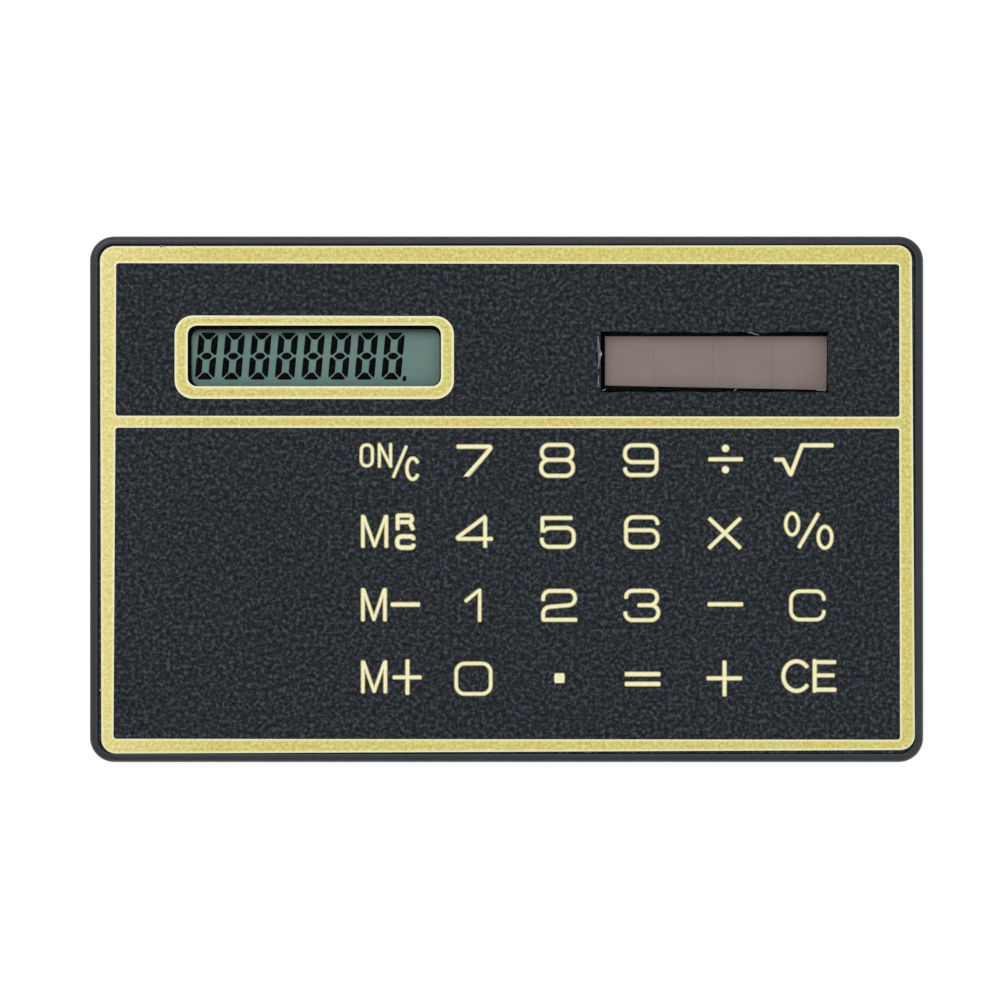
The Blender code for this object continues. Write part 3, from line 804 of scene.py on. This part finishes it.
def case_ribs(material):
    """The ribs inside the frame, under the board: one under the divider, three across."""
    end_gap = 0.05
    layer_gap = 0.02
    inner_x = CASE_SIZE[0] / 2 - LEDGE - end_gap
    inner_y = CASE_SIZE[1] / 2 - LEDGE - end_gap
    top = levels("main_board")[0] - layer_gap
    low_top = levels("lcd_ribbon")[0] - 0.1
    ribbon_low, ribbon_high = box_mm("lcd_ribbon")
    notch_left, notch_right = ribbon_low.x - 0.5, ribbon_high.x + 0.5
    across = (DIVIDER_Y - RIB / 2, DIVIDER_Y + RIB / 2)
    above = (across[1] + layer_gap, inner_y)
    below = (-inner_y, across[0] - layer_gap)
    for name, x_range, y_range, top_z in (
        ("rib_divider_left", (-inner_x, notch_left), across, top),
        ("rib_divider_ribbon", (notch_left, notch_right), across, low_top),
        ("rib_divider_right", (notch_right, inner_x), across, top),
        ("rib_upper", (-0.9 - RIB / 2, -0.9 + RIB / 2), above, top),
        ("rib_lower_left", (-17.0 - RIB / 2, -17.0 + RIB / 2), below, low_top),
        ("rib_lower_right", (9.7 - RIB / 2, 9.7 + RIB / 2), below, top),
    ):
        outline = rounded_span(x_range, y_range, 0.05, 2)
        slab(name, outline, [], POCKET_FLOOR, top_z, material, "case")


def back_plate(material):
    """The back cover: a thin plate with a rolled outside edge."""
    size = extent("back_cover")
    low, high = levels("back_cover")
    corner = CASE_CORNER - COVER_RIM
    bm = bmesh.new()
    edge = 0.12
    section = quarter((edge, low + edge), edge, 270, 180, 4) + [(0.0, high)]
    loops = []
    for inset, z in section:
        loops.append(add_loop(bm, rounded_rectangle((0, 0), grown(size, -inset), corner - inset, 10), z))
    close_ends(bm, loops)
    plate = piece("back_cover_plate", bm, material, "case")
    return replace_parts(plate, "back_cover")


# ---- Face ----


def key_outline(centre):
    return rounded_rectangle(centre, KEY_HOLE, KEY_CORNER, 6)


def cut_edge(centre, size, spacing=0.55):
    """A hand-cut rectangle: its edges wander a little, always inwards from the true outline."""
    corners = box_corners((0, 0), size)
    depths = (0.05, 0.17, 0.05, 0.12)
    points = []
    for (x0, y0), (x1, y1), depth in zip(corners, corners[1:] + corners[:1], depths):
        length = math.dist((x0, y0), (x1, y1))
        inward = ((y0 - y1) / length, (x1 - x0) / length)
        count = round(length / spacing)
        for k in range(count):
            t = k / count
            along = t * length
            wave = 0.5 + 0.28 * math.sin(1.1 * along + depth * 40) + 0.22 * math.sin(3.7 * along + depth * 90)
            reach = depth * wave * min(1, 6 * t, 6 * (1 - t))
            x, y = x0 + (x1 - x0) * t + inward[0] * reach, y0 + (y1 - y0) * t + inward[1] * reach
            points.append((centre[0] + x, centre[1] + y))
    return points


def sliver(points, width):
    """A thin curved sliver with narrow ends, standing a little above the film."""
    bm = bmesh.new()
    loops = []
    for k, (x, y) in enumerate(points):
        share = math.sin(math.pi * (k + 0.5) / len(points))
        (x0, y0), (x1, y1) = points[max(k - 1, 0)], points[min(k + 1, len(points) - 1)]
        reach = width * (0.25 + 0.75 * share) / 2 / math.dist((x0, y0), (x1, y1))
        dx, dy = (y0 - y1) * reach, (x1 - x0) * reach
        foot, crest = FILM_TOP - 0.04, FILM_TOP + 0.02 + 0.05 * share
        left, right = (x + dx, y + dy), (x - dx, y - dy)
        corners = ((*left, foot), (*right, foot), (*right, crest), (*left, crest))
        loops.append([bm.verts.new(corner) for corner in corners])
    close_ends(bm, loops)
    return bm


def cut_burrs(scuffed, whitened):
    """Slivers of film that the cutting of the solar window left standing."""
    left = ((9.38, 16.75), (9.42, 16.25), (9.46, 15.6), (9.56, 15.0), (9.56, 14.5), (9.5, 13.9), (9.4, 13.4))
    right = ((31.7, 11.36), (32.0, 11.2), (32.4, 11.24), (32.66, 11.16), (32.84, 11.34))
    for name, points, width, material in (
        ("left", left, 0.27, scuffed),
        ("left_curl", ((9.58, 15.2), (9.62, 14.92), (9.6, 14.62)), 0.34, whitened),
        ("left_low", ((9.45, 12.7), (9.42, 12.1), (9.48, 11.5)), 0.16, scuffed),
        ("corner", ((9.8, 11.2), (9.92, 11.16), (10.06, 11.24), (10.22, 11.34)), 0.12, scuffed),
        ("top", ((24.76, 17.16), (25.1, 17.1), (25.5, 16.95), (25.95, 16.86)), 0.13, scuffed),
        ("bottom", ((23.36, 11.1), (23.5, 11.26), (23.62, 11.34)), 0.13, scuffed),
        ("right_corner", right, 0.2, scuffed),
    ):
        piece("cut_burr_" + name, sliver(points, width), material, "case")


def film_sheet(material, centres):
    """The film round the key zones, with the display opening and the solar cell's cut-out."""
    outline = rounded_rectangle((0, 0), FILM_SIZE, FILM_CORNER, 14)
    display = rounded_rectangle(DISPLAY_CENTRE, DISPLAY_OPENING, DISPLAY_CORNER, 10)
    solar = cut_edge(SOLAR_CENTRE, SOLAR_WINDOW)
    holes = [display, solar, *(key_outline(c) for c in centres.values())]
    sheet = slab("face_film_sheet", outline, holes, FILM_BOTTOM, FILM_TOP, material, "case")
    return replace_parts(sheet, "face_film")


def key_zone(name, centre, material):
    """One key's part of the film: its rim level with the film round it, its middle standing CROWN proud."""
    bm = bmesh.new()
    loops = []
    for step in range(RAMP_STEPS + 1):
        t = step / RAMP_STEPS
        size = (KEY_HOLE[0] - 2 * RAMP[0] * t, KEY_HOLE[1] - 2 * RAMP[1] * t)
        outline = rounded_rectangle(centre, size, KEY_CORNER, 6)
        loops.append(add_loop(bm, outline, FILM_TOP + CROWN * t))
    for outer, inner in zip(loops, loops[1:]):
        bridge(bm, outer, inner)
    bm.faces.new(loops[-1])
    for edge in bm.edges:
        edge.smooth = not edge.is_boundary
    zone = piece(name + "_zone", bm, material, None, sharp=None)
    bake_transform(zone)
    solid = zone.modifiers.new("film_thickness", "SOLIDIFY")
    solid.thickness = (FILM_TOP - FILM_BOTTOM - 0.01) * MM
    solid.offset = -1.0
    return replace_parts(zone, name)


def key_stem(name, centre, material):
    """The rubber stem under a key zone, with its flange and its contact pill."""
    low, _ = levels(name)
    glue_line = 0.02
    top = FILM_BOTTOM - glue_line
    section = [
        ((3.2, 2.8), 0.55, low),
        ((3.4, 3.0), 0.6, low + 0.08),
        ((3.4, 3.0), 0.6, low + 0.25),
        ((4.8, 4.0), 0.8, low + 0.32),
        ((5.0, 4.2), 0.9, low + 0.4),
        ((5.0, 4.2), 0.9, top - 0.06),
        ((4.88, 4.08), 0.85, top),
    ]
    bm = bmesh.new()
    loops = [add_loop(bm, rounded_rectangle(centre, size, radius, 5), z) for size, radius, z in section]
    close_ends(bm, loops)
    return piece(name + "_stem", bm, material, name)


def gold_border(material):
    """The border of the face and the divider under the display, printed as one shape, not quite squarely."""
    outer = [(-41.6, -26.12), (41.93, -25.74), (41.6, 26.08), (-41.74, 25.97)]
    display_part = [(-40.16, 8.57), (40.35, 8.46), (40.32, 24.13), (-40.09, 24.24)]
    key_part = [(-40.37, -24.6), (40.41, -24.7), (40.33, 7.27), (-40.17, 7.35)]
    windows = [(display_part, 0.3), (key_part, 0.3)]
    return printed_band("gold_border", (outer, 1.5), windows, INK_EDGE, FILM_TOP, FILM_TOP + INK, material)


def display_surround(material):
    """The gold frame round the display opening."""
    outer = [(-34.08, 10.32), (-5.41, 10.28), (-5.41, 18.8), (-34.08, 18.87)]
    window = (box_corners(DISPLAY_CENTRE, DISPLAY_OPENING), DISPLAY_CORNER)
    return printed_band("display_surround", (outer, 1.9), [window], 0.4, FILM_TOP, FILM_TOP + INK, material)


def ink_specks(material):
    """Small spots where the ink spread past the border's outer edge."""
    spots = ((-35.46, 25.94, 0.11), (-35.12, 25.95, 0.08), (-32.02, 25.96, 0.09), (-41.64, -19.6, 0.09))
    polygons = [round_spot(x, y, radius, 12) for x, y, radius in spots]
    print_shape("gold_specks", [(polygons, 0.3)], (0, 0), FILM_TOP, INK, material, "case")


def key_legends(material, centres):
    shapes = legends()
    row_shift = (-0.02, 0.0, 0.02, 0.0)
    low = FILM_TOP + CROWN - 0.002
    for row, names in enumerate(KEY_ROWS):
        for name in names:
            key = "key_" + name
            x, y = centres[key]
            offset = (x, y + row_shift[row])
            layers = [
                ([polygon for strokes in shapes[name] for polygon in strokes(trim)], edge)
                for trim, edge in ((-INK_SPREAD, 0.0), (INK_CORE, 1.0))
            ]
            print_shape("legend_" + name, layers, offset, low, INK, material, key)


# ---- Display and solar cell ----

DIGITS = 8
DIGIT_PITCH = 2.738
FIRST_DIGIT_X = -30.83
DIGIT_Y = 14.71
DIGIT_HEIGHT = 4.84
DIGIT_WIDTH = 2.03
SLANT = 0.092
BAR = 0.66
CUT = 0.1


def segments():
    """The seven segments of a digit about its middle, upright: tall bars, wedges and a lens."""
    w, h = DIGIT_WIDTH / 2, DIGIT_HEIGHT / 2
    inner = w - BAR
    shapes = []
    for side in (-1, 1):
        for up in (-1, 1):
            corners = (
                (w, h - 0.44),
                (w - 0.05, h - 0.27),
                (w - 0.13, h - 0.21),
                (inner + 0.05, h - 0.68),
                (inner, h - 0.8),
                (inner, CUT + 0.43),
                (inner + 0.04, CUT + 0.33),
                (w - 0.25, CUT + 0.02),
                (w - 0.12, CUT),
                (w - 0.02, CUT + 0.13),
                (w, CUT + 0.28),
            )
            shapes.append([(side * x, up * y) for x, y in corners])
    for up in (-1, 1):
        half = (
            (0.58, h),
            (0.7, h - 0.05),
            (0.75, h - 0.12),
            (0.35, h - 0.56),
            (0.25, h - 0.68),
            (0.13, h - 0.72),
        )
        right = [(x, up * y) for x, y in half]
        left = [(-x, y) for x, y in reversed(right)]
        shapes.append(right + left)
    lens = [(0.57, 0.0), (0.49, 0.12), (0.3, 0.3), (0.13, 0.35)]
    upper = lens + [(-x, y) for x, y in reversed(lens[1:])]
    shapes.append(upper + [(-x, -y) for x, y in upper])
    return shapes


def lcd_digits(material):
    """Every digit with all its segments on, and the decimal point after the last."""
    z = levels("lcd_front_polarizer")[1]
    for number in range(DIGITS):
        bm = bmesh.new()
        x0 = FIRST_DIGIT_X + DIGIT_PITCH * number
        shapes = segments()
        if number == DIGITS - 1:
            shapes.append(rounded_rectangle((1.38, -2.32), (0.4, 0.54), 0.16, 4))
        for shape in shapes:
            points = [(x0 + x + SLANT * y, DIGIT_Y + y) for x, y in shape]
            bm.faces.new(add_loop(bm, points, z + 0.002))
        bmesh.ops.recalc_face_normals(bm, faces=bm.faces[:])
        thicken(bm, 0.008)
        piece(f"lcd_digit_{number + 1}", bm, material, "case")


def display_shadow_mask(material):
    """A black print on the back of the lens that paints the shadow of the opening's edges: a dark line at the
    left and the top, where the upper-left lamp would cast it.
    """
    x, y = DISPLAY_CENTRE
    width, height = DISPLAY_OPENING
    low, _ = levels("display_window")
    outline = rounded_rectangle(DISPLAY_CENTRE, grown(DISPLAY_OPENING, 0.8), 0.8, 4)
    # Painted shadow: wide at the left and the top, narrow at the right and the bottom, as the opening's edges
    # would shade the display.
    left, right = x - width / 2 + 0.38, x + width / 2 - 0.15
    bottom, top = y - height / 2 + 0.04, y + height / 2 - 0.36
    window = rounded_span((left, right), (bottom, top), 0.92, 8)
    slab("display_shadow_mask", outline, [window], low - 0.018, low - 0.003, material, "case")


def lcd_ghosts(material):
    """Faint indicators that aren't lit, between the last digit and the end of the display."""
    z = levels("lcd_front_polarizer")[1]
    bm = bmesh.new()
    for x, y, width, height in ((-8.5, 16.0, 0.5, 0.14), (-8.4, 14.45, 0.55, 0.14), (-8.6, 13.85, 0.5, 0.12)):
        bm.faces.new(add_loop(bm, rounded_rectangle((x, y), (width, height), 0.05, 3), z + 0.001))
    thicken(bm, 0.003)
    piece("lcd_indicators", bm, material, "case")


def solar_face(silicon, scribed, backing):
    """The cell's brown face with three faint scribed lines, on a black back paint."""
    low, high = levels("solar_cell_layer")
    paint_outline = rounded_rectangle(middle("solar_cell_glass"), extent("solar_cell_glass"), 0.1, 3)
    paint = slab("solar_cell_paint", paint_outline, [], low, high - 0.02, backing, "case")
    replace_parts(paint, "solar_cell_layer")
    face = [(10.13, 11.7), (32.88, 11.24), (32.94, 16.74), (10.12, 16.74)]
    slab("solar_cell_face", face, [], high - 0.018, high - 0.002, silicon, "case")
    for number, x in enumerate((15.14, 21.15, 27.31), 1):
        line_outline = rounded_rectangle((x, 14.05), (0.07, 5.1), 0.03, 2)
        slab(f"solar_scribe_{number}", line_outline, [], high - 0.004, high, scribed, "case")


# ---- Studio ----

VIEW_WIDTH = 102.68          # of the camera's picture at the face, in millimetres
VIEW_CENTRE = (-0.673, -0.082)
CAMERA_HEIGHT = 900.0
FLOOR_GAP = 0.03             # between the floor and the back, so that they don't touch


def studio():
    world = bpy.data.worlds.new("studio_world")
    bpy.context.scene.world = world
    world.use_nodes = True
    background = world.node_tree.nodes["Background"]
    background.inputs["Color"].default_value = (0.95, 0.97, 1.0, 1.0)
    background.inputs["Strength"].default_value = 0.62

    mesh = bpy.data.meshes.new("floor")
    corners = [(x, y, 0.0) for x, y in box_corners((0, 0), (6.0, 6.0))]
    mesh.from_pydata(corners, [], [(0, 1, 2, 3)])
    floor = bpy.data.objects.new("floor", mesh)
    floor.location.z = -FLOOR_GAP * MM
    n = Nodes("floor_paper")
    shade = n.noise(400.0)
    colour = n.ramp(shade, [(0.3, grey(0.74)), (0.7, grey(0.76))])
    n.finish(colour, n.spread(shade, 0.85, 0.95), specular=0.1)
    n.join(colour, n.shader.inputs["Emission Color"])
    n.shader.inputs["Emission Strength"].default_value = 0.8
    mesh.materials.append(n.material)
    bpy.context.scene.collection.objects.link(floor)

    for name, place, size, power in (
        ("key_light", (-0.35, 0.45, 0.75), 0.6, 3.6),
        ("fill_light", (0.55, -0.35, 0.7), 0.7, 1.6),
    ):
        lamp = bpy.data.lights.new(name, "AREA")
        lamp.shape = "SQUARE"
        lamp.size = size
        lamp.energy = power
        light = bpy.data.objects.new(name, lamp)
        light.location = place
        light.rotation_euler = (-Vector(place)).to_track_quat("-Z", "Y").to_euler()
        bpy.context.scene.collection.objects.link(light)

    camera = bpy.data.cameras.new("camera")
    camera.sensor_width = 36.0
    camera.lens = camera.sensor_width * CAMERA_HEIGHT / VIEW_WIDTH
    camera.clip_start = 0.01
    camera.clip_end = 20.0
    eye = bpy.data.objects.new("camera", camera)
    eye.location = (VIEW_CENTRE[0] * MM, VIEW_CENTRE[1] * MM, (FILM_TOP + CAMERA_HEIGHT) * MM)
    bpy.context.scene.collection.objects.link(eye)
    bpy.context.scene.camera = eye
    bpy.context.scene.view_settings.view_transform = "Standard"


# ---- Assembly ----


def inside_materials():
    """Finishes for the CAD nodes that stay as they are."""
    tape = plain_part("adhesive", (205, 200, 190), (222, 218, 208), 0.8, 0.7)
    solder = plain_part("solder", (180, 182, 186), (208, 210, 214), 0.3, 0.3, metallic=1.0)
    body_black = plain_part("component_black", (28, 28, 30), (42, 42, 45), 0.2, 0.4)
    tan = plain_part("capacitor_body", (150, 118, 80), (172, 140, 98), 0.3, 0.45)
    glass = clear_material("display_glass", (0.9, 0.94, 0.93), 1.45, 0.03)
    return {
        "cover_tape": tape,
        "film_adhesive": black_part("film_glue"),
        "lcd_tape": tape,
        "main_board": plain_part("board_laminate", (34, 84, 44), (52, 110, 60), 1.6, 0.45),
        "key_spacer": black_part("spacer_sheet"),
        "key_deck": black_part("deck_plate"),
        "display_window": clear_material("clear_lens", (0.985, 0.99, 0.985), 1.12, 0.02),
        "lcd_front_glass": glass,
        "lcd_rear_glass": glass,
        "lcd_seal": plain_part("epoxy", (190, 186, 170), (206, 202, 186), 0.4, 0.5),
        "lcd_rear_polarizer": plain_part("reflector", (110, 130, 124), (124, 142, 135), 0.6, 0.4),
        "lcd_ribbon": plain_part("ribbon_foil", (150, 108, 58), (176, 132, 76), 0.5, 0.4),
        "solar_cell_glass": clear_material("cell_glass", (0.975, 0.98, 0.98), 1.14, 0.02),
        "solar_cell_pad": plain_part("foam", (44, 44, 46), (62, 62, 64), 0.25, 0.9, depth_mm=0.03),
        "solar_wire_positive": plain_part("wire_red", (170, 24, 22), (196, 36, 30), 0.6, 0.4),
        "solar_wire_negative": plain_part("wire_black", (24, 24, 24), (36, 36, 37), 0.6, 0.4),
        **{f"{end}_solder_{pole}": solder for end in ("cell", "board") for pole in ("positive", "negative")},
        "chip_blob": plain_part("chip_epoxy", (18, 18, 19), (28, 28, 30), 0.5, 0.35),
        "storage_capacitor": tan,
        "filter_capacitor": tan,
        "resistor": body_black,
        "clamp_diode": body_black,
    }


def assemble():
    studio()
    plastic = case_material()
    film = film_material()
    gold = gold_material()
    rubber = rubber_material()
    centres = {"key_" + name: middle("key_" + name) for row in KEY_ROWS for name in row}

    case_shell(plastic)
    case_ribs(plastic)
    back_plate(cover_material())
    film_sheet(film, centres)
    for key, centre in centres.items():
        key_zone(key, centre, film)
        key_stem(key, centre, rubber)
    scuffed = plain_part("film_scuffed", (84, 86, 92), (124, 126, 132), 0.3, 0.6, specular=0.2)
    whitened = plain_part("film_whitened", (150, 150, 154), (196, 196, 200), 0.3, 0.6, specular=0.2)
    cut_burrs(scuffed, whitened)
    gold_border(gold)
    display_surround(gold)
    ink_specks(gold)
    key_legends(legend_material(), centres)

    lcd_digits(display_tone("lcd_segments", (0, 1, 3), (4, 6, 9), 0.2, 0.5, (0.5, 0.6), 0.02))
    lcd_ghosts(display_tone("lcd_ghost", (108, 134, 126), (120, 142, 130), 0.3, 0.6, (0.3, 0.42), 0.3))
    display_shadow_mask(black_part("shadow_mask_print"))
    silicon = silicon_material("cell_silicon", (145, 128, 122), (152, 134, 127))
    scribed = silicon_material("cell_scribed", (130, 115, 111), (138, 122, 118))
    solar_face(silicon, scribed, black_part("cell_paint"))

    finishes = inside_materials()
    finishes["lcd_front_polarizer"] = lcd_material()
    for node, finish in finishes.items():
        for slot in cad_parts[node].material_slots:
            slot.material = finish


assemble()
